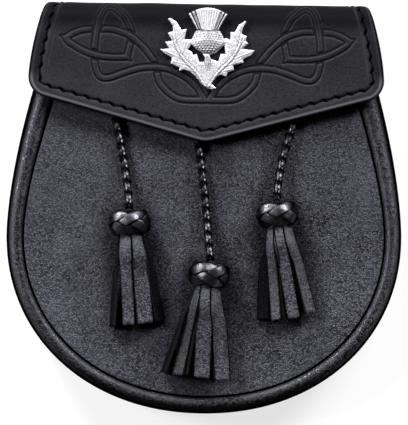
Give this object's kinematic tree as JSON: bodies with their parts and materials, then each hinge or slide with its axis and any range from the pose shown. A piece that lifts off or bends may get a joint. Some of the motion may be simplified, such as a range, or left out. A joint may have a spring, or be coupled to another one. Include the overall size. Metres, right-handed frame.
{
  "type": "sporran pouch",
  "caption": "Round-bottomed black leather day sporran with a stitched, tooled flap, a cast thistle badge and knotted leather tassels on plaited cords.",
  "frame": {"origin": "on the surface that the pouch lies on, under the middle of its box without the tassels", "axes": "+X across the pouch to the wearer's left as seen from the front, +Y from its bottom to the fold of its flap, +Z out of its front"},
  "size_m": [0.1898, 0.1968, 0.0466],
  "materials": {
    "grained_leather": "fine pebbled black leather, satin",
    "smooth_leather": "smooth tooling leather dyed black, soft sheen",
    "lace_leather": "thin glossy black lace",
    "cast_metal": "bright plated casting, slightly frosted in its hollows"
  },
  "bodies": {
    "root": {"back_panel": "grained_leather", "gusset": "grained_leather", "front_panel": "grained_leather", "belt_loop_left": "smooth_leather", "belt_loop_right": "smooth_leather", "flap": "smooth_leather", "snap_stud": "cast_metal", "cord_strip": "smooth_leather", "thistle_badge": "cast_metal", "cord_left": "lace_leather", "cord_middle": "lace_leather", "cord_right": "lace_leather", "knot_left": "lace_leather", "knot_middle": "lace_leather", "knot_right": "lace_leather", "fringe_left": "grained_leather", "fringe_middle": "grained_leather", "fringe_right": "grained_leather"}
  },
  "joints": []
}
